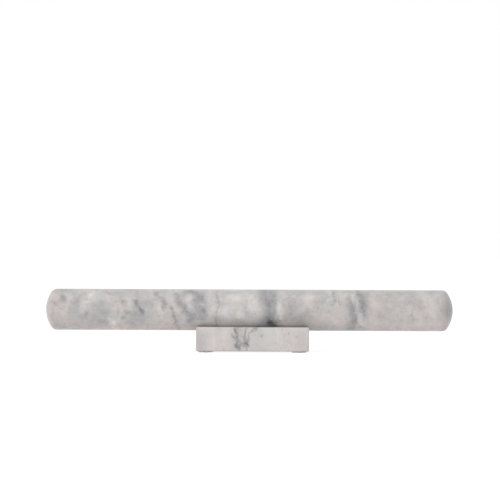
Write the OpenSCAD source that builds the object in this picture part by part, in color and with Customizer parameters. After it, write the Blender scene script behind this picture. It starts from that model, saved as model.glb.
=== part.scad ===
// Marble rolling pin without handles, lying in the saddle of its marble stand.
// X runs along the roller, -Y is the front and Z is up.
// The origin is on the surface that the stand rests on, under the middle of the roller.

/* [Roller] */
// Length of the roller over both domed ends
roller_length = 445; // [300:5:500]
// Diameter of the rolling surface
roller_diameter = 45; // [38:0.5:54]
// Height of each domed end, before its rim is rounded
dome_height = 8.5; // [5:0.5:12]
// Radius of the rounded rim between the rolling surface and the dome
rim_radius = 2.5; // [1:0.25:4]

/* [Stand] */
// Length of the stand along the roller
stand_length = 122; // [90:1:160]
// Depth of the stand from front to back
stand_depth = 65; // [54:1:90]
// Height of the stone block without its pads
stand_height = 26; // [18:0.5:36]
// Distance of the stand's middle from the roller's middle, along the roller
stand_shift = 3.5; // [-20:0.5:20]
// Radius of the four upright corners
corner_radius = 2; // [1:0.25:5]
// Radius of the eased edges round the top and the underside
edge_radius = 1.5; // [0.5:0.25:2.5]

/* [Saddle] */
// Depth of the saddle below the top of the stand
saddle_depth = 5; // [3:0.25:8]
// How much larger the saddle's radius is than the roller's
saddle_ease = 0.75; // [0.5:0.25:3]
// Radius of the rounded lips where the saddle runs out into the top
lip_radius = 2; // [1:0.25:3]
// Width of the chamfer round both mouths of the saddle
mouth_chamfer = 1; // [0.5:0.25:1.5]
// Gap between the roller and the bottom of the saddle
seat_gap = 0.3; // [0.2:0.05:0.5]

/* [Foot pads] */
// Diameter of a foot pad
pad_diameter = 16; // [10:0.5:20]
// Thickness of a foot pad without its adhesive
pad_thickness = 1.2; // [0.8:0.1:4]
// Radius of the rounded lower rim of a pad
pad_rim_radius = 0.5; // [0.2:0.05:0.7]
// Distance from the end of the stand to the rim of a pad
pad_end_inset = 2.5; // [2:0.25:10]
// Distance from the front or back of the stand to the rim of a pad
pad_side_inset = 4; // [2:0.25:10]
// Thickness of the adhesive disc that bonds a pad to the stone
adhesive_thickness = 0.15; // [0.1:0.05:0.5]
// How far the adhesive disc stays inside the rim of its pad
adhesive_inset = 0.5; // [0.25:0.25:2]

/* [Hidden] */
$fn = 128;

// How far a cutting shape runs past what it cuts
past = 5;

roller_radius = roller_diameter / 2;
// The dome is a spherical cap that would meet the rolling surface at its full radius
dome_radius = (roller_radius ^ 2 + dome_height ^ 2) / (2 * dome_height);
dome_centre = roller_length / 2 - dome_radius;
// The rim's circle touches the dome and the rolling surface from the inside
rim_centre = dome_centre + sqrt((dome_radius - rim_radius) ^ 2 - (roller_radius - rim_radius) ^ 2);
dome_angle = atan2(roller_radius - rim_radius, rim_centre - dome_centre);

// Levels, from the resting surface up
stand_bottom = pad_thickness + adhesive_thickness;
stand_middle = stand_bottom + stand_height / 2;
stand_top = stand_bottom + stand_height;
saddle_bottom = stand_top - saddle_depth;
roller_level = saddle_bottom + seat_gap + roller_radius;

saddle_radius = roller_radius + saddle_ease;
saddle_level = saddle_bottom + saddle_radius;
// The lip's circle touches the top face from below and the saddle from the outside
lip_level = stand_top - lip_radius;
lip_offset = sqrt((saddle_radius + lip_radius) ^ 2 - (saddle_level - lip_level) ^ 2);
// Where the saddle's arc ends, as a share of the way from its centre to the lip's centre
arc_share = saddle_radius / (saddle_radius + lip_radius);
arc_offset = lip_offset * arc_share;
arc_level = saddle_level + (lip_level - saddle_level) * arc_share;

pad_radius = pad_diameter / 2;
pad_x = stand_length / 2 - pad_end_inset - pad_radius;
pad_y = stand_depth / 2 - pad_side_inset - pad_radius;

// A flat triangle with its point at the given place, between two directions
module wedge(point, from_angle, to_angle, reach) {
    translate(point)
        polygon([
            [0, 0],
            reach * [cos(from_angle), sin(from_angle)],
            reach * [cos(to_angle), sin(to_angle)]
        ]);
}

module rounded_rectangle(width, height, radius) {
    square([width - 2 * radius, height], center = true);
    square([width, height - 2 * radius], center = true);
    for (x = [-1, 1], y = [-1, 1])
        translate([x * (width / 2 - radius), y * (height / 2 - radius)])
            circle(radius);
}

// Half of the roller's section: along the axis on X, outwards on Y
module roller_outline() {
    translate([-rim_centre, 0])
        square([2 * rim_centre, roller_radius]);
    for (end = [0, 1])
        mirror([end, 0]) {
            // Rounded rim
            intersection() {
                translate([rim_centre, roller_radius - rim_radius])
                    circle(rim_radius);
                wedge([rim_centre, roller_radius - rim_radius], dome_angle, 90, roller_radius);
            }
            // Dome
            intersection() {
                translate([dome_centre, 0])
                    circle(dome_radius);
                wedge([dome_centre, 0], 0, dome_angle, 2 * dome_radius);
            }
        }
}

// Turned and polished marble bar with a domed cap on each end
module roller() {
    color("gainsboro")
        translate([0, 0, roller_level])
            rotate([0, 90, 0])
                rotate_extrude()
                    rotate(-90)
                        roller_outline();
}

// Marble block with eased edges, before the saddle is cut
module stand_block() {
    translate([0, 0, stand_middle])
        intersection() {
            // Seen along the roller
            rotate([90, 0, 90])
                linear_extrude(stand_length, center = true)
                    rounded_rectangle(stand_depth, stand_height, edge_radius);
            // Seen from the front
            rotate([90, 0, 0])
                linear_extrude(stand_depth, center = true)
                    rounded_rectangle(stand_length, stand_height, edge_radius);
            // Seen from above
            linear_extrude(stand_height, center = true)
                rounded_rectangle(stand_length, stand_depth, corner_radius);
        }
}

// Section of the saddle's cut: across the roller on X, up on Y
module saddle_outline() {
    translate([0, saddle_level])
        circle(saddle_radius);
    // Runs out over the rounded lips
    difference() {
        polygon([
            [-lip_offset, stand_top + past],
            [lip_offset, stand_top + past],
            [lip_offset, stand_top],
            [arc_offset, arc_level],
            [-arc_offset, arc_level],
            [-lip_offset, stand_top]
        ]);
        for (side = [-1, 1])
            translate([side * lip_offset, lip_level])
                circle(lip_radius);
    }
}

module saddle_cut() {
    rotate([90, 0, 90])
        linear_extrude(stand_length + 2 * past, center = true)
            saddle_outline();
    // Chamfered mouths: cones that open towards both ends of the stand
    for (side = [-1, 1])
        translate([side * (stand_length / 2 - mouth_chamfer), 0, saddle_level])
            rotate([0, side * 90, 0])
                cylinder(r1 = saddle_radius, r2 = saddle_radius + mouth_chamfer + past, h = mouth_chamfer + past);
}

module stand() {
    color("whitesmoke")
        translate([stand_shift, 0, 0])
            difference() {
                stand_block();
                saddle_cut();
            }
}

// Places its children at one foot: side is -1 at the left and 1 at the right, face is -1 at the front
module at_foot(side, face) {
    translate([stand_shift + side * pad_x, face * pad_y, 0])
        children();
}

// Clear bumper with a flat sole and a rounded lower rim
module pad() {
    color("ghostwhite")
        rotate_extrude() {
            square([pad_radius - pad_rim_radius, pad_thickness]);
            translate([0, pad_rim_radius])
                square([pad_radius, pad_thickness - pad_rim_radius]);
            intersection() {
                translate([pad_radius - pad_rim_radius, pad_rim_radius])
                    circle(pad_rim_radius);
                square(pad_radius);
            }
        }
}

// Thin disc of adhesive between a pad and the underside of the stone
module adhesive() {
    color("lightgrey")
        translate([0, 0, pad_thickness])
            cylinder(r = pad_radius - adhesive_inset, h = adhesive_thickness);
}

roller();
stand();
at_foot(-1, -1) pad();  // pad_front_left
at_foot(1, -1) pad();  // pad_front_right
at_foot(-1, 1) pad();  // pad_back_left
at_foot(1, 1) pad();  // pad_back_right
at_foot(-1, -1) adhesive();  // adhesive_front_left
at_foot(1, -1) adhesive();  // adhesive_front_right
at_foot(-1, 1) adhesive();  // adhesive_back_left
at_foot(1, 1) adhesive();  // adhesive_back_right
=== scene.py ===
import math

import bmesh
import bpy
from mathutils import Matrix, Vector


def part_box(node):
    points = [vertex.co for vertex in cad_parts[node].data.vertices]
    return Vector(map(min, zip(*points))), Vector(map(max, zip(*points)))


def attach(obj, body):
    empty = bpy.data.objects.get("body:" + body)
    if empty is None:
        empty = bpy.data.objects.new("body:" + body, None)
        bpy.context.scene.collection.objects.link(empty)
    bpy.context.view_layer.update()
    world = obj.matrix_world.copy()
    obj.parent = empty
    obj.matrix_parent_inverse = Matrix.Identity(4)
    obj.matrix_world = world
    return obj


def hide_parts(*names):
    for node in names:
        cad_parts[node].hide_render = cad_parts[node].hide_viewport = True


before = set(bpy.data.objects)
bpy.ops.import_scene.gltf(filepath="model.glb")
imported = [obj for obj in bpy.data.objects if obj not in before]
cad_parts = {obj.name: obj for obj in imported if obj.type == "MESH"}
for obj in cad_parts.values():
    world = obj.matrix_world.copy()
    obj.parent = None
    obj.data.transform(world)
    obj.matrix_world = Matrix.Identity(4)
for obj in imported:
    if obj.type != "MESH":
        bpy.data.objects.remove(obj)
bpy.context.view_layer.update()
print("frame loaded:", len(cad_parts), "nodes")

millimetre = 0.001


def middle(box):
    return (box[0] + box[1]) / 2


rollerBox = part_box("roller")
rollerSize = rollerBox[1] - rollerBox[0]
rollerMiddle = middle(rollerBox)
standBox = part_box("stand")
standSize = standBox[1] - standBox[0]
standMiddle = middle(standBox)


# The camera stands level, a little above the roller, and frames it as the photograph does
cameraView = {
    "distance": 2.0,  # from the roller's axis, metres
    "aboveAxis": 0.0657,
    "aside": 0.0004,
    "pixelsPerMetre": 912.7,  # at the roller's axis
    "imageSize": 500,
    "roll": -0.24,  # degrees, so that the right end lies lower
    "sensorWidth": 36,  # millimetres
}


def makeCamera(view):
    camera = bpy.data.cameras.new("camera")
    camera.sensor_width = view["sensorWidth"]
    shownWidth = view["imageSize"] / view["pixelsPerMetre"]
    camera.lens = camera.sensor_width * view["distance"] / shownWidth
    holder = bpy.data.objects.new("camera", camera)
    holder.location = (view["aside"], -view["distance"], rollerMiddle.z + view["aboveAxis"])
    holder.rotation_euler = (math.radians(90), math.radians(view["roll"]), 0)
    bpy.context.scene.collection.objects.link(holder)
    bpy.context.scene.camera = holder


makeCamera(cameraView)
bpy.context.scene.view_settings.view_transform = "Standard"
print("camera set")


# Wraps an output socket, so that node maths reads as plain expressions
class Wire:
    def __init__(self, tree, socket):
        self.tree = tree
        self.socket = socket

    def maths(self, operation, first, second=0.0, clamp=False):
        settings = {"operation": operation, "use_clamp": clamp}
        return self.tree.node("ShaderNodeMath", settings, {0: first, 1: second})

    def __add__(self, other):
        return self.maths("ADD", self, other)

    def __radd__(self, other):
        return self.maths("ADD", other, self)

    def __sub__(self, other):
        return self.maths("SUBTRACT", self, other)

    def __rsub__(self, other):
        return self.maths("SUBTRACT", other, self)

    def __mul__(self, other):
        return self.maths("MULTIPLY", self, other)

    def __rmul__(self, other):
        return self.maths("MULTIPLY", other, self)

    def __truediv__(self, other):
        return self.maths("DIVIDE", self, other)

    def __rtruediv__(self, other):
        return self.maths("DIVIDE", other, self)

    def __lt__(self, other):
        return self.maths("LESS_THAN", self, other)

    def __abs__(self):
        return self.maths("ABSOLUTE", self)

    def sign(self):
        return self.maths("SIGN", self)

    def root(self):
        return self.maths("SQRT", self.atLeast(0.0))

    def sine(self):
        return self.maths("SINE", self)

    def cosine(self):
        return self.maths("COSINE", self)

    def arcSine(self):
        return self.maths("ARCSINE", self)

    def atLeast(self, other):
        return self.maths("MAXIMUM", self, other)

    def atMost(self, other):
        return self.maths("MINIMUM", self, other)

    def clamped(self):
        return self.maths("ADD", self, 0.0, clamp=True)

    # Another output of the same node
    def output(self, name):
        return Wire(self.tree, self.socket.node.outputs[name])


# A node tree, with one method that makes any node
class Tree:
    def __init__(self, nodeTree):
        self.nodeTree = nodeTree

    def node(self, kind, settings=None, inputs=None, output=0):
        made = self.nodeTree.nodes.new(kind)
        for name, value in (settings or {}).items():
            if name == "stops":
                self.setStops(made.color_ramp, value)
            else:
                setattr(made, name, value)
        for name, value in (inputs or {}).items():
            if isinstance(value, Wire):
                self.nodeTree.links.new(value.socket, made.inputs[name])
            else:
                made.inputs[name].default_value = value
        return Wire(self, made.outputs[output]) if made.outputs else made

    def setStops(self, ramp, stops):
        while len(ramp.elements) < len(stops):
            ramp.elements.new(1.0)
        for element, (place, colour) in zip(ramp.elements, stops):
            element.position = place
            element.color = colour

    def vector(self, operation, first, second=(0, 0, 0), output=0):
        return self.node("ShaderNodeVectorMath", {"operation": operation}, {0: first, 1: second}, output)

    def scaled(self, vector, factor):
        return self.node("ShaderNodeVectorMath", {"operation": "SCALE"}, {0: vector, "Scale": factor})

    def combine(self, x=0.0, y=0.0, z=0.0):
        return self.node("ShaderNodeCombineXYZ", {}, {"X": x, "Y": y, "Z": z})

    def separate(self, vector):
        x = self.node("ShaderNodeSeparateXYZ", {}, {"Vector": vector})
        return x, x.output("Y"), x.output("Z")

    # Noise from 0 to 1 whose lumps have about the given size, in the units of the place
    def noise(self, place, size, detail, roughness=0.5):
        inputs = {"Vector": place, "Scale": 1 / size, "Detail": detail, "Roughness": roughness}
        return self.node("ShaderNodeTexNoise", {"noise_dimensions": "3D"}, inputs)

    # The same as a vector that pushes a place about, by half the given reach at most
    def bend(self, place, size, reach):
        colour = self.noise(place, size, 2).output("Color")
        return self.scaled(self.vector("SUBTRACT", colour, (0.5, 0.5, 0.5)), reach)

    # Runs smoothly from 0 at the first value to 1 at the second
    def ease(self, value, first, second):
        inputs = {"Value": value, "From Min": first, "From Max": second}
        return self.node("ShaderNodeMapRange", {"interpolation_type": "SMOOTHSTEP"}, inputs)

    def mix(self, factor, first, second, blend="MIX"):
        settings = {"data_type": "RGBA", "blend_type": blend}
        return self.node("ShaderNodeMix", settings, {"Factor": factor, 6: first, 7: second}, 2)

    def bump(self, height, look):
        inputs = {"Strength": look["bumpStrength"], "Distance": look["bumpDistance"] * millimetre}
        return self.node("ShaderNodeBump", {}, inputs | {"Height": height})


def newMaterial(name):
    material = bpy.data.materials.new(name)
    material.use_nodes = True
    material.node_tree.nodes.clear()
    return material, Tree(material.node_tree)


def sRGB(red, green, blue):
    def linear(value):
        share = value / 255
        return share / 12.92 if share <= 0.04045 else ((share + 0.055) / 1.055) ** 2.4

    return (linear(red), linear(green), linear(blue), 1.0)


# From the darkest tone to the lightest
stoneShades = [
    (0.0, sRGB(64, 60, 60)),
    (0.25, sRGB(118, 116, 117)),
    (0.45, sRGB(156, 154, 155)),
    (0.62, sRGB(183, 179, 177)),
    (0.8, sRGB(203, 199, 197)),
    (1.0, sRGB(226, 222, 220)),
]
# What both stones share. A noise is its size in millimetres, its detail and its roughness, a bend
# is its size and reach in millimetres, and a range is where a mark starts and where it is full.
stoneGrain = {
    "wander": (12, 11),  # bend that makes the drawing's lines irregular
    "fray": (3, 2.6),  # bend that makes their edges ragged
    "clouds": (30, 4, 0.55),
    "mottle": (10, 4, 0.6),
    "mottleBend": (14, 12),
    "grain": (1.6, 2, 0.6),
    "grainTone": 0.1,
    "patchRange": (1.5, 0.2),  # in shares of a patch's half width and height
    "patchLeast": 0.4,  # share of a patch's change where the mottling is darkest
    "patchMottle": 1.2,
    "breakDetail": (4, 0.6),
    "breakRange": (0.38, 0.6),
    "darkVeinLeast": 0.5,  # what is left of a vein where it is broken
    "paleVeinLeast": 0.4,
    "hairlines": (22, 4, 0.6),
    "hairlineBend": (20, 16),
    "hairlineStretch": (1.0, 0.55, 0.4),
    "hairlineRange": (0.02, 0.0),
    "hairlineClouds": (0.45, 0.6),
    "hairlineTone": 0.1,
    "specks": (2.6, 1, 0.5),
    "speckRange": (0.69, 0.76),
    "speckTone": 0.14,
    "tint": (15, 3, 0.5),
    "tintShare": 0.7,
    "pinkTint": (1.04, 0.95, 0.935, 1.0),
    "blueTint": (0.955, 0.985, 1.0, 1.0),
    "mottlePolish": 0.14,
    "grainPolish": 0.08,
    "speckPolish": 0.12,
    "pits": (1.7, 2, 0.6),
    "pitRange": (0.3, 0.22),
    "grainRelief": 0.3,
    "mottleRelief": 0.2,
    "bumpStrength": 0.12,
    "bumpDistance": 0.2,
}
# Places are in millimetres: along the roller from its middle, and up from the roller's axis,
# as they show on the front. A vein is a path, its half width and how much it changes the tone.
rollerMarble = {
    "tone": 0.625,  # of the plain stone, from the darkest shade to the lightest
    "seed": (0.0, 0.0, 0.0),
    "lean": 0.55,  # how far the veins run sideways as they go in from the front
    "cloudiness": 0.34,  # how much the clouds change the tone
    "mottling": 0.46,
    "tinting": 4.2,  # how much the stone turns pink and blue
    "softness": 3.6,  # how far a vein fades out, in half widths
    "breakSize": 5.0,  # length of the pieces that a vein breaks into
    "roughness": 0.36,
    "patches": [
        # along, up, half width, half height, change of tone, change of warmth
        (-206, 19, 7, 6, -0.05, 0.5),
        (-217, 0, 10, 20, -0.05, 0.5),
        (-203, 12, 5, 5, -0.2, 0.7),
        (-202, -7, 18, 13, 0.0, 1.0),
        (-189, 6, 8, 8, -0.12, -0.5),
        (-177, -2, 2.5, 2.5, -0.08, 0.0),
        (-163, -6, 20, 12, -0.07, -0.3),
        (-170, 14, 10, 8, 0.06, -0.4),
        (-136, -7, 4, 3, -0.12, 0.3),
        (-148, -16, 9, 10, 0.05, 0.6),
        (-121, 0, 13, 16, -0.1, -0.5),
        (-116, 0, 4, 8, -0.07, -0.3),
        (-88, -4, 12, 18, 0.06, 0.4),
        (-54, 2, 10, 18, -0.14, -0.9),
        (-50, 5, 2.5, 2.5, 0.14, -0.4),
        (-50, -1.5, 2.4, 2.4, -0.12, 0.0),
        (-42, 0, 5, 24, 0.1, -0.3),
        (-12, 0, 26, 28, 0.1, -0.3),
        (-66, 3, 13, 20, -0.03, -0.2),
        (20, 15, 11, 12, -0.16, -0.5),
        (22, -1, 7, 14, -0.16, -0.6),
        (22, -15, 11, 9, -0.17, -0.1),
        (25, -15, 5, 4, -0.24, 0.2),
        (33, -2, 4, 11, 0.14, -0.2),
        (45, 4, 9, 15, -0.12, -0.6),
        (60, -8, 8, 9, -0.08, -0.3),
        (66, 12, 7, 7, 0.05, 0.3),
        (78, 6, 9, 9, -0.07, -0.2),
        (86, -10, 7, 8, 0.05, 0.5),
        (98, -8, 8, 12, 0.06, 0.4),
        (112, -4, 8, 17, -0.1, -0.4),
        (125, 8, 7, 14, -0.1, -0.2),
        (140, 4, 10, 18, 0.04, 0.2),
        (174, 10, 8, 4, -0.03, 1.0),
        # These two long bands are painted light: they make the roller's underside lighter and pinker, as
        # warm bounce light from the floor would
        (160, -14, 60, 8, 0.03, 0.9),
        (-90, -19, 80, 6, 0.04, 0.8),
        # This patch is painted shade: it darkens the right end, the side turned away from the lamps
        (218, 0, 9, 22, -0.16, 0.9),
    ],
    "darkVeins": [
        ([(-138, 9), (-132, -1)], 1.1, 0.2),
        ([(-123, 8), (-119, 2), (-114, -3)], 1.3, 0.2),
        ([(-102, 18), (-95, 13), (-92, 7), (-93, -1)], 1.2, 0.24),
        ([(-84, 4), (-82, -8), (-77, -20)], 1.0, 0.24),
        ([(-77, 14), (-71, 4), (-62, -8)], 2.4, 0.22),
        ([(-74, 12), (-68, 19), (-60, 20), (-54, 13)], 1.9, 0.18),
        ([(-35, 22), (-36, 0), (-35, -22)], 0.7, 0.14),
        ([(15, 22), (19, 8), (21, -4), (22, -20)], 2.3, 0.1),
        ([(11, 22), (14, 8), (14, -10), (10, -20)], 1.6, 0.1),
        ([(26, 20), (29, 4), (28, -8), (33, -20)], 1.6, 0.14),
        ([(91, 20), (92, 9)], 1.2, 0.18),
        ([(109, 14), (112, 4), (114, -6), (113, -17)], 2.0, 0.15),
        ([(118, 21), (123, 8), (125, -9)], 2.0, 0.15),
    ],
    "paleVeins": [
        ([(-170, 18), (-184, 0)], 1.6, 0.1),
        ([(-151, -9), (-145, -21)], 1.8, 0.15),
        ([(-129, 12), (-137, -2), (-146, -12)], 1.6, 0.1),
        ([(-69, 11), (-63, -2), (-54, -15)], 2.0, 0.16),
        ([(113, 21), (119, -2), (121, -13)], 1.7, 0.13),
    ],
}
standMarble = {
    "tone": 0.735,
    "seed": (300.0, 40.0, 70.0),
    "lean": 0.35,
    "cloudiness": 0.18,
    "mottling": 0.2,
    "tinting": 3.0,
    "softness": 2.6,
    "breakSize": 1.8,
    "roughness": 0.4,
    "patches": [
        (-56, -30, 5, 17, -0.1, 0.5),
        (-49, -34, 4.5, 12, -0.09, -0.9),
        (-32, -30, 14, 17, -0.01, 0.4),
        (-11, -30, 9, 16, -0.12, -0.3),
        (-12.5, -20, 2.8, 4.5, -0.16, 0.0),
        (-11, -39, 3.0, 3.2, -0.14, 0.1),
        (-3.5, -35, 2.6, 3.4, -0.26, 0.1),
        (4, -17, 2.2, 2, -0.18, 0.0),
        (13.5, -27, 1.8, 1.8, -0.18, 0.0),
        (9, -30, 9, 17, -0.05, -0.7),
        (36, -30, 17, 17, 0.01, 0.2),
        (57, -30, 7, 14, -0.05, 0.0),
        (51, -28, 1.8, 1.8, -0.12, 0.0),
    ],
    "darkVeins": [
        ([(-14, -17), (-12, -28), (-13, -42)], 1.0, 0.26),
        ([(7, -16), (0, -27), (-6, -36), (-12, -43)], 1.0, 0.28),
        ([(-19, -26), (-10, -33), (-3, -42)], 0.9, 0.24),
        ([(-3, -17), (-6, -27), (-3, -36)], 0.9, 0.24),
    ],
    "paleVeins": [
        ([(-40, -16), (-38, -44)], 1.2, 0.06),
        ([(-26, -16), (-28, -44)], 1.0, 0.06),
        ([(30, -16), (34, -44)], 1.4, 0.05),
    ],
}


# How far a place lies behind the front of its piece, in millimetres
def behindRoller(y, up):
    radius = rollerSize.z / 2 / millimetre
    return y + (radius * radius - up * up).root()


def behindStand(y, up):
    return y - standBox[0].y / millimetre


# The place in the solid stone, and where it lies in the drawing that shows on the front
def stonePlaces(tree, stone, behind):
    place = tree.scaled(tree.node("ShaderNodeTexCoord").output("Object"), 1 / millimetre)
    x, y, z = tree.separate(place)
    up = z - rollerMiddle.z / millimetre
    solid = tree.vector("ADD", tree.combine(x, y, up), stone["seed"])
    wander = tree.bend(solid, *stoneGrain["wander"])
    fray = tree.bend(solid, *stoneGrain["fray"])
    pushX, _, pushUp = tree.separate(tree.vector("ADD", wander, fray))
    drawn = tree.combine(x + pushX - behind(y, up) * stone["lean"], 0.0, up + pushUp)
    return solid, drawn


# How far a place in the drawing lies from the nearest point of a path
def pathDistance(tree, drawn, path):
    nearest = None
    for (startX, startUp), (endX, endUp) in zip(path, path[1:]):
        run = (endX - startX, 0.0, endUp - startUp)
        lengthSquared = run[0] ** 2 + run[2] ** 2
        fromStart = tree.vector("SUBTRACT", drawn, (startX, 0.0, startUp))
        share = (tree.vector("DOT_PRODUCT", fromStart, run, "Value") / lengthSquared).clamped()
        across = tree.vector("SUBTRACT", fromStart, tree.scaled(run, share))
        distance = tree.vector("LENGTH", across, output="Value")
        nearest = distance if nearest is None else nearest.atMost(distance)
    return nearest


def drawVeins(tree, drawn, veins, softness, breakUp, least):
    total = None
    for path, halfWidth, strength in veins:
        distance = pathDistance(tree, drawn, path)
        mark = tree.ease(distance, halfWidth * softness, 0.0) * strength
        total = mark if total is None else total.atLeast(mark)
    return total * (least + breakUp * (1 - least))


def marble(name, stone, behind):
    material, tree = newMaterial(name)
    solid, drawn = stonePlaces(tree, stone, behind)
    look = stoneGrain

    clouds = tree.noise(solid, *look["clouds"])
    mottle = tree.noise(tree.vector("ADD", solid, tree.bend(solid, *look["mottleBend"])), *look["mottle"])
    grain = tree.noise(solid, *look["grain"])
    cloudy = (clouds - 0.5) * stone["cloudiness"] + (mottle - 0.5) * stone["mottling"]
    tone = stone["tone"] + cloudy + (grain - 0.5) * look["grainTone"]
    warmth = (tree.noise(solid, *look["tint"]) - 0.5) * stone["tinting"]
    # Some patches are painted light and shade: lighter, pinker bands along the roller's bottom and a darker
    # right end
    for along, up, halfWidth, halfHeight, change, warm in stone["patches"]:
        fromMiddle = tree.vector("SUBTRACT", drawn, (along, 0.0, up))
        share = tree.vector("DIVIDE", fromMiddle, (halfWidth, 1.0, halfHeight))
        cover = tree.ease(tree.vector("LENGTH", share, output="Value"), *look["patchRange"])
        tone = tone + cover * change * (look["patchLeast"] + mottle * look["patchMottle"])
        warmth = warmth + cover * warm

    breakUp = tree.noise(solid, stone["breakSize"], *look["breakDetail"])
    breakUp = tree.ease(breakUp, *look["breakRange"])
    softness = stone["softness"]
    tone = tone - drawVeins(tree, drawn, stone["darkVeins"], softness, breakUp, look["darkVeinLeast"])
    tone = tone + drawVeins(tree, drawn, stone["paleVeins"], softness, breakUp, look["paleVeinLeast"])

    # Hairlines run all through the stone, where it is cloudy
    bent = tree.vector("ADD", solid, tree.bend(solid, *look["hairlineBend"]))
    stretched = tree.vector("MULTIPLY", bent, look["hairlineStretch"])
    ridge = abs(tree.noise(stretched, *look["hairlines"]) - 0.5)
    hairline = tree.ease(ridge, *look["hairlineRange"]) * tree.ease(clouds, *look["hairlineClouds"])
    specks = tree.ease(tree.noise(solid, *look["specks"]), *look["speckRange"])
    tone = tone - hairline * look["hairlineTone"] - specks * look["speckTone"]

    grey = tree.node("ShaderNodeValToRGB", {"stops": stoneShades}, {"Fac": tone.clamped()})
    pink = (warmth * look["tintShare"]).clamped()
    blue = (warmth * -look["tintShare"]).clamped()
    blushed = tree.mix(pink, grey, look["pinkTint"], "MULTIPLY")
    colour = tree.mix(blue, blushed, look["blueTint"], "MULTIPLY")

    polish = stone["roughness"] + (mottle - 0.5) * look["mottlePolish"]
    polish = polish + (grain - 0.5) * look["grainPolish"] + specks * look["speckPolish"]
    pits = tree.ease(tree.noise(solid, *look["pits"]), *look["pitRange"])
    relief = grain * look["grainRelief"] + mottle * look["mottleRelief"] - pits
    shader = tree.node("ShaderNodeBsdfPrincipled", {}, {
        "Base Color": colour,
        "Roughness": polish.clamped(),
        "Normal": tree.bump(relief, look),
    })
    tree.node("ShaderNodeOutputMaterial", {}, {"Surface": shader})
    return material


rollerStone = marble("rollerMarble", rollerMarble, behindRoller)
standStone = marble("standMarble", standMarble, behindStand)
print("marble made")


# What both soft plastics share, in millimetres
plasticGrain = {
    "grainDetail": (3, 0.6),
    "cloud": (6, 2, 0.5),
    "cloudShare": 0.7,
    "darkest": 0.88,  # of the plain colour
    "roughnessChange": 0.2,
    "refraction": 1.45,
    "bumpStrength": 0.2,
    "bumpDistance": 0.1,
}
bumperLook = {
    "colour": sRGB(252, 249, 249),
    "roughness": 0.3,
    "clearness": 0.9,
    "grainSize": 0.9,
}
adhesiveLook = {
    "colour": sRGB(222, 219, 212),
    "roughness": 0.6,
    "clearness": 0.0,
    "grainSize": 0.6,
}


# Soft plastic with a faint cloudiness and a fine grain
def softPlastic(name, plastic):
    material, tree = newMaterial(name)
    look = plasticGrain
    place = tree.scaled(tree.node("ShaderNodeTexCoord").output("Object"), 1 / millimetre)
    grain = tree.noise(place, plastic["grainSize"], *look["grainDetail"])
    cloud = tree.noise(place, *look["cloud"])
    light = (cloud * look["cloudShare"] + grain * (1 - look["cloudShare"])).clamped()
    darker = tuple(value * look["darkest"] for value in plastic["colour"][:3]) + (1.0,)
    shader = tree.node("ShaderNodeBsdfPrincipled", {}, {
        "Base Color": tree.mix(light, darker, plastic["colour"]),
        "Roughness": plastic["roughness"] + (grain - 0.5) * look["roughnessChange"],
        "Normal": tree.bump(grain, look),
        "Transmission Weight": plastic["clearness"],
        "IOR": look["refraction"],
    })
    tree.node("ShaderNodeOutputMaterial", {}, {"Surface": shader})
    return material


bumperPlastic = softPlastic("clearBumper", bumperLook)
adhesiveFilm = softPlastic("adhesiveFilm", adhesiveLook)
print("plastics made")


# A geometry tree with named inputs, and a wire for each input
def newShape(name, sizes, counts=()):
    nodeTree = bpy.data.node_groups.new(name, "GeometryNodeTree")
    for label in sizes:
        nodeTree.interface.new_socket(name=label, in_out="INPUT", socket_type="NodeSocketFloat")
    for label in counts:
        nodeTree.interface.new_socket(name=label, in_out="INPUT", socket_type="NodeSocketInt")
    nodeTree.interface.new_socket(name="Shape", in_out="OUTPUT", socket_type="NodeSocketGeometry")
    tree = Tree(nodeTree)
    first = tree.node("NodeGroupInput")
    return tree, [first.output(label) for label in (*sizes, *counts)]


def endShape(tree, geometry, material=None):
    shaded = tree.node("GeometryNodeSetShadeSmooth", {}, {0: geometry})
    if material:
        solid = tree.node("GeometryNodeRealizeInstances", {}, {"Geometry": shaded})
        shaded = tree.node("GeometryNodeSetMaterial", {}, {"Geometry": solid, "Material": material})
    tree.node("NodeGroupOutput", {}, {"Shape": shaded})
    return tree.nodeTree


# The tree's result as a plain closed mesh with its faces outwards
def builtPiece(name, nodeTree, values):
    piece = bpy.data.objects.new(name, bpy.data.meshes.new(name + "Seed"))
    bpy.context.scene.collection.objects.link(piece)
    modifier = piece.modifiers.new("shape", "NODES")
    modifier.node_group = nodeTree
    for item in nodeTree.interface.items_tree:
        if item.in_out == "INPUT":
            modifier[item.identifier] = values[item.name]
    evaluated = piece.evaluated_get(bpy.context.evaluated_depsgraph_get())
    mesh = bpy.data.meshes.new_from_object(evaluated)
    piece.modifiers.clear()
    mesh.name = name
    piece.data = mesh
    shape = bmesh.new()
    shape.from_mesh(mesh)
    bmesh.ops.recalc_face_normals(shape, faces=shape.faces)
    shape.to_mesh(mesh)
    shape.free()
    print(name, "built with", len(mesh.polygons), "faces")
    return piece


turnedRows = {
    "barrelEnd": 0.35,  # the barrel's share of the rings, from the middle to one end
    "rimEnd": 0.6,  # the rim's share reaches to here, and the rest are the dome's
    "mergeDistance": 1e-6,
}


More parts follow.
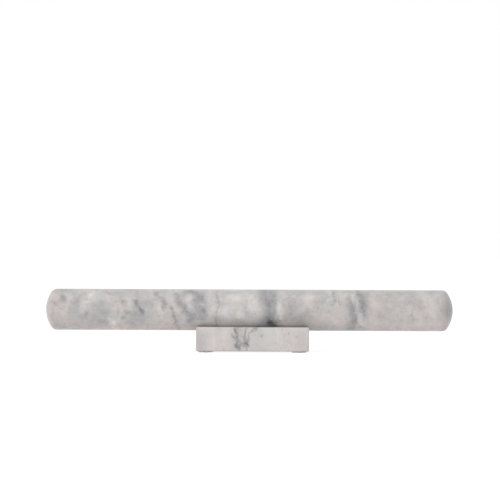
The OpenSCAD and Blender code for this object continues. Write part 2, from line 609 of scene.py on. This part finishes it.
# A turned solid round the X axis: a straight barrel, rounded rims and domed ends
def turnedShape(name, material=None):
    sizes = ("Length", "Radius", "Dome Height", "Rim Radius", "Level")
    tree, (length, radius, domeHeight, rimRadius, level, rings, segments) = newShape(
        name, sizes, ("Rings", "Segments"))
    domeRadius = (radius * radius + domeHeight * domeHeight) / (domeHeight * 2)
    domeAngle = ((radius - rimRadius) / (domeRadius - rimRadius)).arcSine()
    rimCentre = length / 2 - domeRadius + (domeRadius - rimRadius) * domeAngle.cosine()

    sheet = tree.node("GeometryNodeMeshGrid", {}, {
        "Size X": 2.0, "Size Y": 2 * math.pi, "Vertices X": rings, "Vertices Y": segments})
    share, turn, _ = tree.separate(tree.node("GeometryNodeInputPosition"))
    barrelEnd = turnedRows["barrelEnd"]
    rimEnd = turnedRows["rimEnd"]
    outwards = abs(share)
    barrel = (outwards / barrelEnd).clamped()
    rim = ((outwards - barrelEnd) / (rimEnd - barrelEnd)).clamped()
    dome = ((outwards - rimEnd) / (1 - rimEnd)).clamped()
    rimTurn = math.pi / 2 - rim * (math.pi / 2 - domeAngle)
    domeTurn = domeAngle * (1 - dome)
    along = rimCentre * barrel + rimRadius * rimTurn.cosine()
    along = along + domeRadius * (domeTurn.cosine() - domeAngle.cosine())
    out = radius - rimRadius + rimRadius * rimTurn.sine()
    out = (out + domeRadius * (domeTurn.sine() - domeAngle.sine())).atLeast(0.0)
    place = tree.combine(share.sign() * along, out * turn.cosine(), out * turn.sine() + level)
    turned = tree.node("GeometryNodeSetPosition", {}, {"Geometry": sheet, "Position": place})
    closed = tree.node("GeometryNodeMergeByDistance", {}, {
        "Geometry": turned, "Distance": turnedRows["mergeDistance"]})
    return endShape(tree, closed, material)


# In millimetres; the length and the diameter come from the frame
rollerShape = {
    "domeHeight": 8.5,
    "rimRadius": 6.5,
    "rings": 181,
    "segments": 257,
}
roller = builtPiece("marbleRoller", turnedShape("turnedRoller", rollerStone), {
    "Length": rollerSize.x,
    "Radius": rollerSize.z / 2,
    "Dome Height": rollerShape["domeHeight"] * millimetre,
    "Rim Radius": rollerShape["rimRadius"] * millimetre,
    "Level": rollerMiddle.z,
    "Rings": rollerShape["rings"],
    "Segments": rollerShape["segments"],
})
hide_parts("roller")
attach(roller, "roller")


# In millimetres; the length, depth and height come from the frame
standShape = {
    "edgeRadius": 1.6,
    "edgeRows": 7,  # rows of faces round each edge
    "rows": (142, 134, 44),  # faces along, across and up
    "saddleDepth": 5.0,
    "saddleRadius": 23.25,
    "lipRadius": 2.0,
    "chipDepth": 0.35,
    "chipSize": 3.5,
    "chipDetail": 3.0,
    "chipRange": (0.56, 0.72),
    "chipGain": 2.4,  # how fast the chips deepen from the flat faces to the middle of an edge
}


# A block with rounded edges and a saddle along its top, whose arrises have small chips
def saddleBlock(name, look, material):
    sizes = ("Length", "Depth", "Height", "Edge Radius", "Saddle Radius", "Saddle Depth", "Lip Radius",
             "Chip Depth", "Chip Size", "Middle X", "Middle Y", "Middle Z")
    tree, wires = newShape(name, sizes)
    length, depth, height, edge, saddleRadius, saddleDepth, lipRadius = wires[:7]
    chipDepth, chipSize, middleX, middleY, middleZ = wires[7:]
    rows = look["rows"]
    cube = tree.node("GeometryNodeMeshCube", {}, {
        "Size": (2, 2, 2), "Vertices X": rows[0] + 1, "Vertices Y": rows[1] + 1, "Vertices Z": rows[2] + 1})
    shares = tree.separate(tree.node("GeometryNodeInputPosition"))

    # The outermost rows of each side bend round the edges, and the others cover the flat faces
    core = []
    bend = []
    for share, size, count in zip(shares, (length, depth, height), rows):
        flatEnd = 1 - 2 * look["edgeRows"] / count
        outwards = abs(share)
        core.append(share.sign() * (outwards / flatEnd).clamped() * (size / 2 - edge))
        bend.append(share.sign() * ((outwards - flatEnd) / (1 - flatEnd)).clamped())
    inner = tree.combine(*core)
    direction = tree.combine(*bend)
    corner = ((tree.vector("LENGTH", direction, output="Value") - 1) * look["chipGain"]).clamped()
    lumps = tree.noise(inner, chipSize, look["chipDetail"])
    chip = tree.ease(lumps, *look["chipRange"]) * corner * chipDepth
    rounded = tree.scaled(tree.vector("NORMALIZE", direction), edge - chip)
    x, y, z = tree.separate(tree.vector("ADD", inner, rounded))

    # The top is let down to the saddle and its rounded lips; the sides below it follow
    lipLevel = saddleRadius - saddleDepth + lipRadius
    reach = saddleRadius + lipRadius
    lipOffset = (reach * reach - lipLevel * lipLevel).root()
    across = abs(y)
    arcDrop = saddleDepth - saddleRadius + (saddleRadius * saddleRadius - across * across).root()
    intoLip = (lipOffset - across).atLeast(0.0)
    lipDrop = lipRadius - (lipRadius * lipRadius - intoLip * intoLip).root()
    inArc = across < lipOffset * saddleRadius / reach
    drop = inArc * arcDrop + (1 - inArc) * lipDrop
    highest = height / 2 - edge
    share = ((z + highest) / (highest * 2)).clamped()
    place = tree.combine(x + middleX, y + middleY, z - drop * share + middleZ)
    carved = tree.node("GeometryNodeSetPosition", {}, {"Geometry": cube, "Position": place})
    return endShape(tree, carved, material)


stand = builtPiece("marbleStand", saddleBlock("saddleBlock", standShape, standStone), {
    "Length": standSize.x,
    "Depth": standSize.y,
    "Height": standSize.z,
    "Edge Radius": standShape["edgeRadius"] * millimetre,
    "Saddle Radius": standShape["saddleRadius"] * millimetre,
    "Saddle Depth": standShape["saddleDepth"] * millimetre,
    "Lip Radius": standShape["lipRadius"] * millimetre,
    "Chip Depth": standShape["chipDepth"] * millimetre,
    "Chip Size": standShape["chipSize"] * millimetre,
    "Middle X": standMiddle.x,
    "Middle Y": standMiddle.y,
    "Middle Z": standMiddle.z,
})
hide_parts("stand")
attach(stand, "stand")


# In millimetres; the thickness and the diameter come from the frame
footShape = {
    "corners": ("front_left", "front_right", "back_left", "back_right"),
    "crown": 0.02,  # how far a flat side bulges
    "padRim": 0.45,
    "adhesiveRim": 0.05,
    "rings": 41,
    "segments": 97,
}


# The same flat disc under each corner of the stand
def discSet(name, material):
    sizes = ("Thickness", "Radius", "Crown", "Rim Radius", "Spacing X", "Spacing Y", "Middle X", "Level")
    tree, wires = newShape(name, sizes, ("Rings", "Segments"))
    thickness, radius, crown, rim, spacingX, spacingY, middleX, level, rings, segments = wires
    disc = tree.node("GeometryNodeGroup", {"node_tree": turnedShape(name + "Disc")}, {
        "Length": thickness, "Radius": radius, "Dome Height": crown, "Rim Radius": rim,
        "Rings": rings, "Segments": segments})
    corners = tree.node("GeometryNodeMeshGrid", {}, {
        "Size X": spacingX, "Size Y": spacingY, "Vertices X": 2, "Vertices Y": 2})
    shift = tree.combine(middleX, 0.0, level + thickness / 2)
    placed = tree.node("GeometryNodeSetPosition", {}, {"Geometry": corners, "Offset": shift})
    discs = tree.node("GeometryNodeInstanceOnPoints", {}, {
        "Points": placed, "Instance": disc, "Rotation": (0, math.pi / 2, 0)})
    return endShape(tree, discs, material)


def makeFeet(name, prefix, rim, material):
    nodes = [prefix + corner for corner in footShape["corners"]]
    lowest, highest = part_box(nodes[0])
    frontLeft = middle(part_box(nodes[0]))
    backRight = middle(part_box(nodes[-1]))
    feet = builtPiece(name, discSet(name + "Set", material), {
        "Thickness": highest.z - lowest.z,
        "Radius": (highest.x - lowest.x) / 2,
        "Crown": footShape["crown"] * millimetre,
        "Rim Radius": rim * millimetre,
        "Spacing X": backRight.x - frontLeft.x,
        "Spacing Y": backRight.y - frontLeft.y,
        "Middle X": (frontLeft.x + backRight.x) / 2,
        "Level": lowest.z,
        "Rings": footShape["rings"],
        "Segments": footShape["segments"],
    })
    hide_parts(*nodes)
    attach(feet, "stand")


makeFeet("footPads", "pad_", footShape["padRim"], bumperPlastic)
makeFeet("adhesiveDiscs", "adhesive_", footShape["adhesiveRim"], adhesiveFilm)
print("pieces built")


studio = {
    "white": (1.0, 1.0, 1.0, 1.0),
    "ambient": 0.87,
    "ambientLean": 0.35,  # how much darker the right side is
    "floorSize": 40.0,
    "floorColour": (0.97, 0.97, 0.97, 1.0),
    "floorGlow": 0.8,  # share of plain white that the camera sees in the floor
    "floorWhite": 1.1,  # strength of that white
    "lamps": [
        # name, place, aimed at, width, watts
        ("keyLamp", (-0.6, -2.1, 0.25), (0, 0, 0.04), 1.1, 9),
        ("topLamp", (-0.1, -0.3, 1.8), (0, 0, 0.04), 1.4, 5),
    ],
}


# 1 where the camera, a reflection or a clear piece shows the surroundings
def seenDirectly(tree):
    path = tree.node("ShaderNodeLightPath")
    seen = path.output("Is Camera Ray") + path.output("Is Glossy Ray")
    return (seen + path.output("Is Transmission Ray")).clamped()


def makeStudio(look):
    world = bpy.data.worlds.new("softWhite")
    bpy.context.scene.world = world
    world.use_nodes = True
    world.node_tree.nodes.clear()
    tree = Tree(world.node_tree)
    side, _, _ = tree.separate(tree.node("ShaderNodeTexCoord").output("Generated"))
    soft = look["ambient"] * (1 - side * look["ambientLean"])
    seen = seenDirectly(tree)
    strength = soft * (1 - seen) + seen
    sky = tree.node("ShaderNodeBackground", {}, {"Color": look["white"], "Strength": strength})
    tree.node("ShaderNodeOutputWorld", {}, {"Surface": sky})

    material, tree = newMaterial("paleFloor")
    plain = tree.node("ShaderNodeBsdfDiffuse", {}, {"Color": look["floorColour"]})
    white = tree.node("ShaderNodeEmission", {}, {"Color": look["white"], "Strength": look["floorWhite"]})
    glow = seenDirectly(tree) * look["floorGlow"]
    mixed = tree.node("ShaderNodeMixShader", {}, {0: glow, 1: plain, 2: white})
    tree.node("ShaderNodeOutputMaterial", {}, {"Surface": mixed})

    half = look["floorSize"] / 2
    corners = [(-half, -half, 0), (half, -half, 0), (half, half, 0), (-half, half, 0)]
    mesh = bpy.data.meshes.new("floor")
    mesh.from_pydata(corners, [], [(0, 1, 2, 3)])
    mesh.materials.append(material)
    floor = bpy.data.objects.new("floor", mesh)
    bpy.context.scene.collection.objects.link(floor)

    for name, place, target, width, watts in look["lamps"]:
        lamp = bpy.data.lights.new(name, "AREA")
        lamp.shape = "SQUARE"
        lamp.size = width
        lamp.energy = watts
        holder = bpy.data.objects.new(name, lamp)
        aim = [end - start for start, end in zip(place, target)]
        tilt = math.atan2(math.hypot(aim[0], aim[1]), -aim[2])
        turn = math.atan2(-aim[0], aim[1])
        holder.location = place
        holder.rotation_euler = (tilt, 0, turn)
        bpy.context.scene.collection.objects.link(holder)


makeStudio(studio)
print("studio lit")
